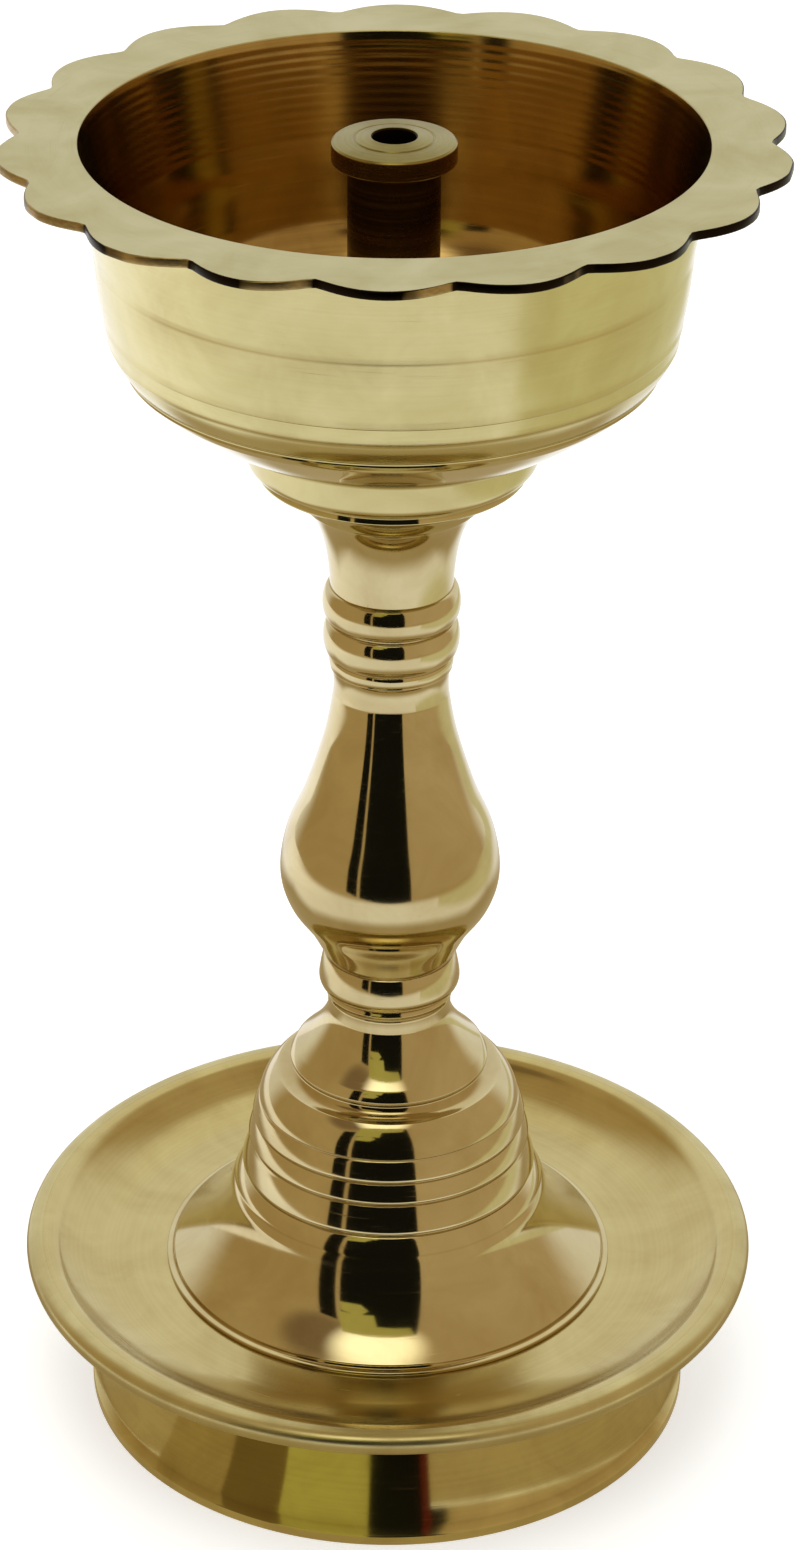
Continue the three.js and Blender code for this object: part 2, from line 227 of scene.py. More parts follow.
def turned_brass(name, clean, tarnish, roughness, cut_spacing, cut_depth, streak=0.0, pits=0.0, brushed=0.0):
    """Brass cut on a lathe and buffed. Its cuts run round the axis, cut_spacing apart and cut_depth deep,
    and pits is the depth of its grain, all in mm. Edges are rubbed bright, grooves and thin clouds hold
    tarnish, and short scratches run with the buffing. streak stains some rings more, and brushed draws
    highlights out across the cuts."""
    cloud_size, scratch_length, scratch_width, grain_size, scratched_radius = 11, 5, 0.18, 0.5, 25
    material, tree = blank_material(name)
    place = add_node(tree, "ShaderNodeTexCoord").outputs["Object"]
    axes = add_node(tree, "ShaderNodeSeparateXYZ", {0: place})
    level = add_node(tree, "ShaderNodeVectorMath", {0: place, 1: (1, 1, 0)}, operation="MULTIPLY")
    radius = add_node(tree, "ShaderNodeVectorMath", {0: level}, operation="LENGTH").outputs["Value"]
    section = add_node(tree, "ShaderNodeCombineXYZ", {0: radius, 1: axes.outputs["Z"]})
    ringed = {"Vector": section, "Scale": 1 / (cut_spacing * MM), "Detail": 2.0, "Roughness": 0.6}
    cuts = add_node(tree, "ShaderNodeTexNoise", ringed, noise_dimensions="2D")
    mottled = {"Scale": 1 / (cloud_size * MM), "Detail": 4.0, "Roughness": 0.62, "Distortion": 0.6}
    clouds = add_node(tree, "ShaderNodeTexNoise", {"Vector": place, **mottled})
    # The scratches' noise is stretched round the axis, where a turn counts as its path at one radius
    stretch = scratched_radius * MM * scratch_width / scratch_length
    outward = add_node(tree, "ShaderNodeVectorMath", {0: level}, operation="NORMALIZE")
    round_axis = add_node(tree, "ShaderNodeVectorMath", {0: outward, "Scale": stretch}, operation="SCALE")
    around = add_node(tree, "ShaderNodeSeparateXYZ", {0: round_axis})
    along = add_node(tree, "ShaderNodeCombineXYZ", {0: radius, 1: axes.outputs["Z"], 2: around.outputs["X"]})
    fine = {"Vector": along, "W": around.outputs["Y"], "Scale": 1 / (scratch_width * MM), "Detail": 1.0}
    scratches = add_node(tree, "ShaderNodeTexNoise", fine, noise_dimensions="4D")
    sandy = {"Vector": place, "Scale": 1 / (grain_size * MM), "Detail": 3.0}
    grain = add_node(tree, "ShaderNodeTexNoise", sandy)
    # Tarnish lies in clouds and in the grooves, and edges are rubbed bright
    relief = add_node(tree, "ShaderNodeNewGeometry").outputs["Pointiness"]
    hollow = add_node(tree, "ShaderNodeMapRange", {"Value": relief, 1: 0.5, 2: 0.47, 4: 0.7})
    cloudy = add_node(tree, "ShaderNodeMapRange", {"Value": clouds, 1: 0.35, 2: 0.8, 4: 0.5})
    stained = add_node(tree, "ShaderNodeMath", {0: hollow, 1: cloudy}, operation="ADD", use_clamp=True)
    streaky = add_node(tree, "ShaderNodeMapRange", {"Value": cuts, 1: 0.35, 2: 0.65, 3: -streak, 4: streak})
    share = add_node(tree, "ShaderNodeMath", {0: stained, 1: streaky}, operation="ADD", use_clamp=True)
    tints = {"Factor": share, 6: linear(clean), 7: linear(tarnish)}
    colour = add_node(tree, "ShaderNodeMix", tints, data_type="RGBA").outputs[2]
    clear, dulled = roughness * 0.85, roughness * 1.35
    gloss = add_node(tree, "ShaderNodeMapRange", {"Value": clouds, 1: 0.3, 2: 0.75, 3: clear, 4: dulled})
    worn = add_node(tree, "ShaderNodeMapRange", {"Value": scratches, 1: 0.62, 2: 0.8, 4: 0.12})
    rough = add_node(tree, "ShaderNodeMath", {0: gloss, 1: worn}, operation="ADD")
    cut_height = add_node(tree, "ShaderNodeMath", {0: cuts, 1: cut_depth}, operation="MULTIPLY")
    height = add_node(tree, "ShaderNodeMath", {0: grain, 1: pits, 2: cut_height}, operation="MULTIPLY_ADD")
    bump = add_node(tree, "ShaderNodeBump", {"Height": height, "Distance": MM})
    round_about = add_node(tree, "ShaderNodeTangent", direction_type="RADIAL", axis="Z")
    metal = {"Base Color": colour, "Metallic": 1.0, "Roughness": rough, "Normal": bump}
    drawn_out = {"Anisotropic": brushed, "Anisotropic Rotation": 0.25, "Tangent": round_about}
    brass = add_node(tree, "ShaderNodeBsdfPrincipled", {**metal, **drawn_out})
    add_node(tree, "ShaderNodeOutputMaterial", {"Surface": brass})
    return material


# Buffed long ago and worn: pale olive gold, half matt, with fine rings that only show in a highlight
tray_brass = turned_brass("buffed_brass", "#cabd88", "#a08c53", 0.3, 0.35, 0.002, streak=0.04)
# The dish has kept more of its polish, and its fine turned rings blur what it mirrors
dish_brass = turned_brass(
    "satin_dish_brass", "#c6b780", "#a48c50", 0.17, 0.45, 0.0018, streak=0.05, brushed=0.5
)
# Hands carry the lamp by its foot skirt and keep that smooth: a deep gold that mirrors almost sharply
handled_brass = turned_brass("handled_brass", "#cdbd7f", "#9c8550", 0.12, 0.5, 0.001, streak=0.04)
# Nobody polishes the inside of the foot: dull, brown, with coarse tool marks and casting grain
raw_brass = turned_brass("unpolished_brass", "#9c8147", "#5d4823", 0.5, 0.9, 0.03, streak=0.2, pits=0.04)

rim_inner = TRAY_RADIUS - TRAY_RIM_WIDTH
rim_crest = TRAY_RADIUS - TRAY_RIM_WIDTH / 2
skirt_inner = SKIRT_TOP_RADIUS - FOOT_WALL
tray_outline = (
    Outline(TIE_HOLE_RADIUS, TRAY_FLOOR - 1, finish=2)
    .line(TIE_HOLE_RADIUS, BOSS_UNDERSIDE)
    .line(BOSS_RADIUS, BOSS_UNDERSIDE)
    .bend(BOSS_RADIUS + 0.2, TRAY_UNDERSIDE, BOSS_RADIUS + 1.5, TRAY_UNDERSIDE)
    .line(skirt_inner - 1, TRAY_UNDERSIDE)
    .line(skirt_inner, TRAY_UNDERSIDE - 1)
    .bend(skirt_inner + 0.4, 6, FOOT_RADIUS - FOOT_WALL, 0)
    .turn_to(3)
    .line(FOOT_RADIUS, 0)
    .line(FOOT_RADIUS, 1.3)
    .line(FOOT_RADIUS - 0.9, 2.2)
    .bend(SKIRT_TOP_RADIUS + 0.3, 6.5, SKIRT_TOP_RADIUS, SKIRT_TOP, steps=24)
    .turn_to(0)
    .line(SKIRT_TOP_RADIUS + 1.6, SKIRT_TOP + 1.1)
    .line(TRAY_RADIUS - 1.1, TRAY_RIM_UNDERSIDE)
    .bend(TRAY_RADIUS, TRAY_RIM_UNDERSIDE + 0.1, TRAY_RADIUS, TRAY_RIM_UNDERSIDE + 1.3, steps=8)
    .bend(TRAY_RADIUS, TRAY_RIM_TOP, rim_crest, TRAY_RIM_TOP)
    .turn_to(1)
    .bend(rim_inner + 0.6, TRAY_RIM_TOP, rim_inner - 0.3, TRAY_RIM_TOP - 1)
    .bend(DISH_RADIUS + 4.8, TRAY_FLOOR + 0.2, DISH_RADIUS, TRAY_FLOOR, steps=24)
    .line(33, TRAY_FLOOR)
    .line(TIE_HOLE_RADIUS, TRAY_FLOOR)
    .line(TIE_HOLE_RADIUS, TRAY_FLOOR - 1)
)
drip_tray = turned("drip_tray_turned", tray_outline, [tray_brass, dish_brass, raw_brass, handled_brass])
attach(drip_tray, "base")
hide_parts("drip_tray")

# Bell pedestal
# A hollow brass bell, turned and buffed bright. A trumpet foot stands in the tray, the dome steps in at four
# scored lines, and a thin lip overhangs below the neck. The tie rod runs through it.
BELL_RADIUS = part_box("bell_pedestal")[1].x / MM
BELL_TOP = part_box("bell_pedestal")[1].z / MM
BELL_BAND_RADIUS = 21
BELL_BAND_HEIGHT = 30.2
BELL_LIP_RADIUS = 12.95
BELL_LIP_HEIGHT = 50.3
BELL_NECK_RADIUS = 8
BELL_CAVITY_TOP = 45.8

# Mirror polished by hand on the mop: deeper and warmer than the satin parts
bell_brass = turned_brass("mirror_brass", "#cdbf93", "#a4894f", 0.075, 0.3, 0.0004)

bell_outline = (
    Outline(BELL_RADIUS - 3.1, TRAY_FLOOR)
    .line(BELL_RADIUS, TRAY_FLOOR)
    .line(BELL_RADIUS, TRAY_FLOOR + 0.5)
    .line(BELL_RADIUS - 0.8, TRAY_FLOOR + 0.6)
    .line(BELL_RADIUS - 1, TRAY_FLOOR + 1.1)
    .bend(BELL_BAND_RADIUS + 1.6, 24.4, BELL_BAND_RADIUS, BELL_BAND_HEIGHT, steps=28)
    .bend(BELL_BAND_RADIUS - 0.2, BELL_BAND_HEIGHT + 0.6, 20.4, 31.4, steps=8)
    .bend(20.1, 32.4, 19.3, 33.5, steps=8)
    .groove(19.2, 33.85, 0.3, 0.5)
    .line(19.45, 34.25)
    .bend(19.0, 35.9, 18.3, 37.6, steps=10)
    .groove(18.25, 38, 0.3, 0.5)
    .line(18.6, 38.45)
    .bend(18.3, 39.6, 17.8, 40.7, steps=8)
    .groove(17.75, 41, 0.25, 0.4)
    .line(18.0, 41.35)
    .bend(17.7, 42.6, 17.15, 43.9, steps=8)
    .groove(17.1, 44.1, 0.06, 0.3)
    .bend(16.5, 46.6, 14.7, 48.2, steps=16)
    .bend(12.6, 48.3, 12.5, BELL_LIP_HEIGHT - 0.8, steps=8)
    .line(BELL_LIP_RADIUS, BELL_LIP_HEIGHT - 0.5)
    .line(BELL_LIP_RADIUS, BELL_LIP_HEIGHT)
    .line(12.4, BELL_LIP_HEIGHT + 1.1)
    .bend(8.6, 54.9, BELL_NECK_RADIUS, BELL_TOP - 1.8, steps=24)
    .line(BELL_NECK_RADIUS, BELL_TOP)
    .turn_to(1)
    .line(TIE_HOLE_RADIUS, BELL_TOP)
    .line(TIE_HOLE_RADIUS, BELL_CAVITY_TOP)
    .line(10.5, BELL_CAVITY_TOP)
    .bend(15, BELL_CAVITY_TOP - 0.4, 15.7, 40.5)
    .line(16.7, 34)
    .line(18.6, 29.8)
    .bend(19.8, 23.2, BELL_RADIUS - 3.7, TRAY_FLOOR + 0.9)
    .line(BELL_RADIUS - 3.1, TRAY_FLOOR)
)
bell = turned("bell_pedestal_turned", bell_outline, [bell_brass, raw_brass])
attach(bell, "base")
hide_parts("bell_pedestal")

# Baluster stem
# Solid brass bar turned to a vase with one bead below it, three above and a flared top. It is drilled and
# tapped at both ends, for the tie rod below and the bowl's stud above.
STEM_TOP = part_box("baluster_stem")[1].z / MM
STEM_TOP_RADIUS = 11
TIE_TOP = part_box("tie_rod")[1].z / MM
STUD_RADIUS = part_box("bowl_stud")[1].x / MM
STUD_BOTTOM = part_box("bowl_stud")[0].z / MM
STUD_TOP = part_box("bowl_stud")[1].z / MM
THREAD_GAP = 0.05
END_GAP = 0.3

stem_outline = (
    Outline(0, TIE_TOP + END_GAP, finish=1)
    .line(3 + THREAD_GAP, TIE_TOP + END_GAP)
    .line(3 + THREAD_GAP, BELL_TOP)
    .turn_to(0)
    .line(BELL_NECK_RADIUS + 0.1, BELL_TOP)
    .line(BELL_NECK_RADIUS + 0.3, 60.4)
    .line(BELL_NECK_RADIUS, 60.9)
    .bend(9.35, 61.4, 9.13, 62.9, steps=12)
    .bend(8.9, 64.7, 8.5, 65.9, steps=10)
    .line(8.4, 66)
    .sweep([
        (8.55, 66.4), (10.4, 70), (13.1, 74.1), (14.15, 78.4),
        (13.3, 84), (10.9, 90), (8.45, 98), (7.3, 104.3),
    ])
    .line(7.3, 105.6)
    .bend(7.35, 107.2, 7.75, 107.8, steps=8)
    .line(7.65, 107.95)
    .bead(7.7, 109.4, 0.2)
    .line(7.8, 109.7)
    .bead(7.8, 114.3, 0.82)
    .line(7.85, 114.6)
    .bead(7.75, 119.0, 0.9)
    .bend(8.05, 127.3, STEM_TOP_RADIUS, STEM_TOP, steps=30)
    .turn_to(1)
    .line(STUD_RADIUS + THREAD_GAP, STEM_TOP)
    .line(STUD_RADIUS + THREAD_GAP, STUD_BOTTOM - END_GAP)
    .line(0, STUD_BOTTOM - END_GAP)
)
stem = turned("baluster_stem_turned", stem_outline, [bell_brass, raw_brass])
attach(stem, "base")
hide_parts("baluster_stem")

# Tie rod
# A length of threaded brass rod that clamps tray, bell and stem together. It is screwed up into the stem,
# and its lower end shows below the nut inside the foot.
TIE_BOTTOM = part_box("tie_rod")[0].z / MM
TIE_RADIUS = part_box("tie_rod")[1].x / MM
TIE_PITCH = 1.0
THREAD_DEPTH_SHARE = 0.54
THREAD_CUTS_PER_TURN = 10

# As it comes from the die: bright on the thread crests, brown with old oil in the roots
fixing_brass = turned_brass("threaded_brass", "#b39c5e", "#6b5429", 0.33, 0.25, 0.004, streak=0.15)


def threaded_bar_outline(radius, bottom, top, pitch):
    chamfer = 0.5
    outline = Outline(0, bottom).line(radius - chamfer, bottom).line(radius, bottom + chamfer)
    length = top - bottom - 2 * chamfer
    steps = round(length / pitch * THREAD_CUTS_PER_TURN)
    for step in range(1, steps + 1):
        outline.line(radius, bottom + chamfer + length * step / steps)
    return outline.line(radius - chamfer, top).line(0, top)


def geometry_tree(name, *inputs):
    """A tree of geometry nodes that gives a geometry, and the sockets of its inputs; sizes are numbers."""
    tree = bpy.data.node_groups.new(name, "GeometryNodeTree")
    for title in inputs:
        kind = title if title in ("Geometry", "Material") else "Float"
        tree.interface.new_socket(title, in_out="INPUT", socket_type="NodeSocket" + kind)
    tree.interface.new_socket("Geometry", in_out="OUTPUT", socket_type="NodeSocketGeometry")
    return tree, tree.nodes.new("NodeGroupInput").outputs


def from_axis(tree):
    """X, Y and Z of each point, its distance from the upright axis, and the level way out to it."""
    position = add_node(tree, "GeometryNodeInputPosition")
    x, y, z = add_node(tree, "ShaderNodeSeparateXYZ", {0: position}).outputs
    level = add_node(tree, "ShaderNodeCombineXYZ", {0: x, 1: y})
    radius = add_node(tree, "ShaderNodeVectorMath", {0: level}, operation="LENGTH").outputs["Value"]
    outward = add_node(tree, "ShaderNodeVectorMath", {0: level}, operation="NORMALIZE")
    return x, y, z, radius, outward


def thread_tree():
    """Geometry nodes that cut a right-handed screw thread into the outside of an upright bar."""
    skin_depth, crest, root = 0.01, 0.06, 0.42
    sizes = ("Radius", "Pitch", "Depth", "Bottom", "Top")
    tree, given = geometry_tree("screw_thread", "Geometry", *sizes, "Material")
    x, y, z, radius, outward = from_axis(tree)
    turn = add_node(tree, "ShaderNodeMath", {0: y, 1: x}, operation="ARCTAN2")
    turns = add_node(tree, "ShaderNodeMath", {0: turn, 1: 2 * math.pi}, operation="DIVIDE")
    pitches = add_node(tree, "ShaderNodeMath", {0: z, 1: given["Pitch"]}, operation="DIVIDE")
    helix = add_node(tree, "ShaderNodeMath", {0: pitches, 1: turns}, operation="SUBTRACT")
    # 0 at a crest and 1 at a root, with both cut a little flat
    wave = add_node(tree, "ShaderNodeMath", {0: helix, 1: 0.5}, operation="PINGPONG")
    flank = add_node(tree, "ShaderNodeMapRange", {"Value": wave, 1: crest, 2: root})
    # The cut fades out over one pitch at each end
    low_end = add_node(tree, "ShaderNodeMath", {0: z, 1: given["Bottom"]}, operation="SUBTRACT")
    high_end = add_node(tree, "ShaderNodeMath", {0: given["Top"], 1: z}, operation="SUBTRACT")
    nearer = add_node(tree, "ShaderNodeMath", {0: low_end, 1: high_end}, operation="MINIMUM")
    run_out = {0: nearer, 1: given["Pitch"]}
    fade = add_node(tree, "ShaderNodeMath", run_out, operation="DIVIDE", use_clamp=True)
    skin = add_node(tree, "ShaderNodeMath", {0: given["Radius"], 1: skin_depth * MM}, operation="SUBTRACT")
    outside = add_node(tree, "ShaderNodeMath", {0: radius, 1: skin}, operation="GREATER_THAN")
    depth = add_node(tree, "ShaderNodeMath", {0: given["Depth"], 1: flank}, operation="MULTIPLY")
    faded = add_node(tree, "ShaderNodeMath", {0: depth, 1: fade}, operation="MULTIPLY")
    inward = add_node(tree, "ShaderNodeMath", {0: faded, 1: -1.0}, operation="MULTIPLY")
    move = add_node(tree, "ShaderNodeVectorMath", {0: outward, "Scale": inward}, operation="SCALE")
    bar = {"Geometry": given["Geometry"], "Selection": outside, "Offset": move}
    cut = add_node(tree, "GeometryNodeSetPosition", bar)
    real = add_node(tree, "GeometryNodeRealizeInstances", {0: cut})
    finished = add_node(tree, "GeometryNodeSetMaterial", {"Geometry": real, "Material": given["Material"]})
    add_node(tree, "NodeGroupOutput", {0: finished})
    return tree


def settled(piece, modifier, crease):
    """The piece with the plain mesh that the modifier makes of it, and without the modifier."""
    bpy.context.view_layer.update()
    evaluated = piece.evaluated_get(bpy.context.evaluated_depsgraph_get())
    mesh = bpy.data.meshes.new_from_object(evaluated)
    mesh.name = piece.name
    piece.modifiers.remove(modifier)
    piece.data = mesh
    smooth(mesh, crease)
    return piece


def made_by_nodes(piece, tree, values):
    """The piece after the tree has worked on it, with the tree's inputs set by their names."""
    modifier = piece.modifiers.new(tree.name, "NODES")
    modifier.node_group = tree
    for item in tree.interface.items_tree:
        if item.in_out == "INPUT" and item.name in values:
            modifier[item.identifier] = values[item.name]
    return settled(piece, modifier, crease=50)


screw_thread = thread_tree()


def thread_cut(piece, radius, bottom, top, pitch, material):
    """The piece with a screw thread cut from bottom to top."""
    depth = THREAD_DEPTH_SHARE * pitch
    sizes = {"Radius": radius, "Pitch": pitch, "Depth": depth, "Bottom": bottom, "Top": top}
    values = {title: size * MM for title, size in sizes.items()}
    return made_by_nodes(piece, screw_thread, {**values, "Material": material})


def threaded_bar(name, radius, bottom, top, pitch):
    outline = threaded_bar_outline(radius, bottom, top, pitch)
    bar = turned(name, outline, [fixing_brass], flats=48, edge=0.05)
    return thread_cut(bar, radius, bottom, top, pitch, fixing_brass)


tie_rod = threaded_bar("tie_rod_threaded", TIE_RADIUS, TIE_BOTTOM, TIE_TOP, TIE_PITCH)
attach(tie_rod, "base")
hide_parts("tie_rod")

# Washer and nut
# A stamped brass washer and a six sided nut draw the tie rod down against the boss under the tray. The nut
# is turned from hexagon bar, so its corners are chamfered round.
WASHER_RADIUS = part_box("tie_washer")[1].x / MM
WASHER_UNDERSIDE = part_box("tie_washer")[0].z / MM
NUT_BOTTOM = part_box("tie_nut")[0].z / MM
NUT_CORNER_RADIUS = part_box("tie_nut")[1].x / MM
NUT_HOLE_RADIUS = TIE_RADIUS + THREAD_GAP

washer_outline = (
    Outline(TIE_HOLE_RADIUS, WASHER_UNDERSIDE + 0.6)
    .line(TIE_HOLE_RADIUS, WASHER_UNDERSIDE)
    .line(WASHER_RADIUS - 0.2, WASHER_UNDERSIDE)
    .line(WASHER_RADIUS, WASHER_UNDERSIDE + 0.2)
    .line(WASHER_RADIUS, BOSS_UNDERSIDE - 0.1)
    .line(WASHER_RADIUS - 0.1, BOSS_UNDERSIDE)
    .line(TIE_HOLE_RADIUS, BOSS_UNDERSIDE)
    .line(TIE_HOLE_RADIUS, WASHER_UNDERSIDE + 0.6)
)
washer = turned("tie_washer_stamped", washer_outline, [fixing_brass], flats=96, edge=0.12)
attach(washer, "washer")
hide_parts("tie_washer")


def hexagon(angle):
    """Radius of the nut's six flats at an angle, with a corner on the X axis."""
    sixth = math.pi / 3
    return NUT_CORNER_RADIUS * math.cos(sixth / 2) / math.cos(angle % sixth - sixth / 2)


def nut_outline():
    flat_radius = NUT_CORNER_RADIUS * math.cos(math.pi / 6)
    face_radius, chamfer, steps, lead_in = flat_radius - 0.2, 0.55, 10, 0.4
    outline = Outline(NUT_HOLE_RADIUS, NUT_BOTTOM + 1).line(NUT_HOLE_RADIUS, NUT_BOTTOM + lead_in)
    outline.line(NUT_HOLE_RADIUS + lead_in, NUT_BOTTOM).line(face_radius, NUT_BOTTOM)
    slope = (NUT_CORNER_RADIUS - face_radius) / chamfer
    for step in range(1, steps + 1):
        rise = chamfer * step / steps
        outline.line(face_radius + slope * rise, NUT_BOTTOM + rise)
    for step in range(steps, -1, -1):
        rise = chamfer * step / steps
        outline.line(face_radius + slope * rise, WASHER_UNDERSIDE - rise)
    outline.line(NUT_HOLE_RADIUS + lead_in, WASHER_UNDERSIDE)
    return outline.line(NUT_HOLE_RADIUS, WASHER_UNDERSIDE - lead_in).line(NUT_HOLE_RADIUS, NUT_BOTTOM + 1)


nut = turned("tie_nut_chamfered", nut_outline(), [fixing_brass], flats=144, edge=0.05, widest=hexagon)
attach(nut, "nut")
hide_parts("tie_nut")

# Bowl stud
# A short threaded brass stud, fixed in the bowl and screwed into the top of the stem. It only shows when the
# bowl is unscrewed.
STUD_PITCH = 1.5

stud = threaded_bar("bowl_stud_threaded", STUD_RADIUS, STUD_BOTTOM, STUD_TOP, STUD_PITCH)
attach(stud, "stud")
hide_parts("bowl_stud")

# Oil bowl
# One brass casting: a collar, a deep bowl with four scored lines, and a flat rim whose petals are filed by
# hand. The outside and the rim are satin, and the inside is polished but browned by oil.
BOWL_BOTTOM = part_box("oil_bowl")[0].z / MM
RIM_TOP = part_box("oil_bowl")[1].z / MM
RIM_THICKNESS = 1.1
RIM_UNDERSIDE = RIM_TOP - RIM_THICKNESS
RIM_TIP_RADIUS = 47.45
RIM_VALLEY_RADIUS = 44.45
RIM_FLAT_RADIUS = 40.2
RIM_SWELL = 0.3
MOUTH_RADIUS = 37.6
COLLAR_RADIUS = 18.6
COLLAR_TOP = 141.3
BOWL_FLOOR = 144.3
BOWL_FLOOR_RADIUS = 16
WICK_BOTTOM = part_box("wick_tube")[0].z / MM
WICK_SCREW_RADIUS = 3.85

# Satin buffed: pale olive, the rings blur every reflection into long upright bands
bowl_brass = turned_brass("satin_bowl_brass", "#d0c590", "#b5a567", 0.16, 0.5, 0.0012, streak=0.04)
# Rim faced on the lathe and rubbed flat: pale and nearly matt
rim_brass = turned_brass("rubbed_rim_brass", "#c3bb8d", "#b5ac7d", 0.4, 0.4, 0.002, streak=0.04, pits=0.008)
# Inside: polished once, then browned by oil and smoke
oiled_brass = turned_brass("oil_browned_brass", "#bb9d60", "#846636", 0.13, 0.5, 0.001, streak=0.08)
# Under the bowl and on the collar the polish is still pale and sharp
pale_brass = turned_brass("pale_mirror_brass", "#cbbf8b", "#a9955a", 0.07, 0.4, 0.0005)


def painted_shade_edge(name, clean, tarnish_and_shade):
    """Filed brass with painted shade: black on one flank of each petal, all over on the lamp's right and in
    random patches. The same dark colour is its tarnish.
    """
    right_share, patch_share, patch_size, unshaded_below, shaded_above = 0.45, 0.5, 6, -0.1, 0.06
    material = turned_brass(name, clean, tarnish_and_shade, 0.3, 0.3, 0.003, streak=0.1, pits=0.01)
    tree = material.node_tree
    shader = next(node for node in tree.nodes if node.type == "BSDF_PRINCIPLED")
    unshaded = shader.inputs["Base Color"].links[0].from_socket
    place = add_node(tree, "ShaderNodeTexCoord").outputs["Object"]
    facing = add_node(tree, "ShaderNodeNewGeometry").outputs["Normal"]
    level = add_node(tree, "ShaderNodeVectorMath", {0: place, 1: (1, 1, 0)}, operation="MULTIPLY")
    outward = add_node(tree, "ShaderNodeVectorMath", {0: level}, operation="NORMALIZE")
    across = add_node(tree, "ShaderNodeVectorMath", {0: facing, 1: outward}, operation="CROSS_PRODUCT")
    shade_amount = add_node(tree, "ShaderNodeSeparateXYZ", {0: across}).outputs["Z"]
    to_right = add_node(tree, "ShaderNodeSeparateXYZ", {0: outward}).outputs["X"]
    patches = {"Vector": place, "Scale": 1 / (patch_size * MM), "Detail": 2.0}
    patchy = add_node(tree, "ShaderNodeTexNoise", patches)
    # Painted shade: more on one flank of each petal, on the lamp's right and in random patches
    for part, share in ((to_right, right_share), (patchy, patch_share)):
        shade_amount = add_node(tree, "ShaderNodeMath", {0: part, 1: share, 2: shade_amount}, operation="MULTIPLY_ADD")
    black = add_node(tree, "ShaderNodeMapRange", {"Value": shade_amount, 1: unshaded_below, 2: shaded_above})
    layers = {"Factor": black, 6: unshaded, 7: linear(tarnish_and_shade)}
    colour = add_node(tree, "ShaderNodeMix", layers, data_type="RGBA").outputs[2]
    tree.links.new(colour, shader.inputs["Base Color"])
    return material


# The filed edge of the petals: pale brown, with painted shade that blackens one flank of each petal
# and the lamp's right
filed_shaded_brass = painted_shade_edge("shaded_filed_brass", "#b49c68", "#1d150c")
# The bowl's flat floor stays rubbed and pale where the oil is wiped out
floor_brass = turned_brass("wiped_floor_brass", "#c1b07a", "#8f7a45", 0.22, 0.5, 0.003, streak=0.1)


def bowl_outline():
    outline = (
        Outline(0, STUD_TOP + END_GAP, finish=3)
        .line(STUD_RADIUS + THREAD_GAP, STUD_TOP + END_GAP)
        .line(STUD_RADIUS + THREAD_GAP, BOWL_BOTTOM)
        .turn_to(4)
        .line(STEM_TOP_RADIUS + 0.2, BOWL_BOTTOM)
        .bend(12.4, 133.7, 16.3, 134.5, steps=8)
        .line(16.75, 134.8)
        .line(16.5, 135.6)
        .bend(COLLAR_RADIUS - 0.6, 136.0, COLLAR_RADIUS - 0.45, 137.3, steps=6)
        .bend(COLLAR_RADIUS - 0.1, 139.4, COLLAR_RADIUS, COLLAR_TOP - 0.4, steps=6)
        .line(COLLAR_RADIUS - 0.2, COLLAR_TOP)
        .sweep([(22.1, 142), (26.8, 145), (31.5, 148.6)], steps=8)
        .bend(32.1, 149.3, 32.45, 149.7, steps=3)
        .groove(32.7, 149.95, 0.1, 0.5)
        .turn_to(0)
        .bend(34.2, 152, 34.62, 153.4, steps=6)
        .line(34.71, 153.5)
        .bead(34.76, 154.2, -0.01, steps=6)
        .line(34.98, 155.5)
        .line(35.07, 155.6)
        .bead(35.14, 156.6, -0.006, steps=6)
        .bend(35.7, 159, 36.08, 163.8, steps=4)
        .line(36.1, 164.05)
        .bead(36.17, 164.95, -0.006, steps=6)
        .sweep([(36.8, 169), (37.5, 173.5)], steps=4)
        .bend(38.1, 176.2, RIM_FLAT_RADIUS, RIM_UNDERSIDE + RIM_SWELL, steps=8)
    )
    # The rim has rings of points between its flat and its tips, which the petals are filed from
    width, rings = RIM_TIP_RADIUS - RIM_FLAT_RADIUS, 5
    for ring in range(1, rings + 1):
        share = ring / rings
        outline.turn_to(5 if ring == rings else 1)
        outline.line(RIM_FLAT_RADIUS + width * share, RIM_UNDERSIDE + RIM_SWELL * max(0, 1 - 2 * share))
    outline.line(RIM_TIP_RADIUS, RIM_TOP).turn_to(1)
    for ring in range(1, rings + 1):
        outline.line(RIM_FLAT_RADIUS + width * (1 - ring / rings), RIM_TOP)
    outline.line(MOUTH_RADIUS, RIM_TOP).turn_to(2).line(MOUTH_RADIUS - 0.1, RIM_TOP - 0.5)
    # The tool's last coarse cuts stand as ridges below the mouth, on a wall that leans in
    pitch, height, ridges, points, lean, curve = 1.1, 0.008, 11, 5, 0.19, 0.0006
    for step in range(1, ridges * points + 1):
        drop = pitch * step / points
        wall = MOUTH_RADIUS - 0.15 - lean * drop - curve * drop * drop
        outline.line(wall + height * math.cos(2 * math.pi * step / points), RIM_TOP - 0.6 - drop)
    outline.sweep([
        (34.3, 162), (33.6, 158), (32.3, 153.6), (29.4, 149.8), (24.8, 146.6),
        (BOWL_FLOOR_RADIUS + 3.6, 144.9), (BOWL_FLOOR_RADIUS, BOWL_FLOOR),
    ], steps=5)
    outline.turn_to(6).line(WICK_SCREW_RADIUS + THREAD_GAP, BOWL_FLOOR)
    outline.turn_to(3).line(WICK_SCREW_RADIUS + THREAD_GAP, WICK_BOTTOM - END_GAP)
    return outline.line(0, WICK_BOTTOM - END_GAP)


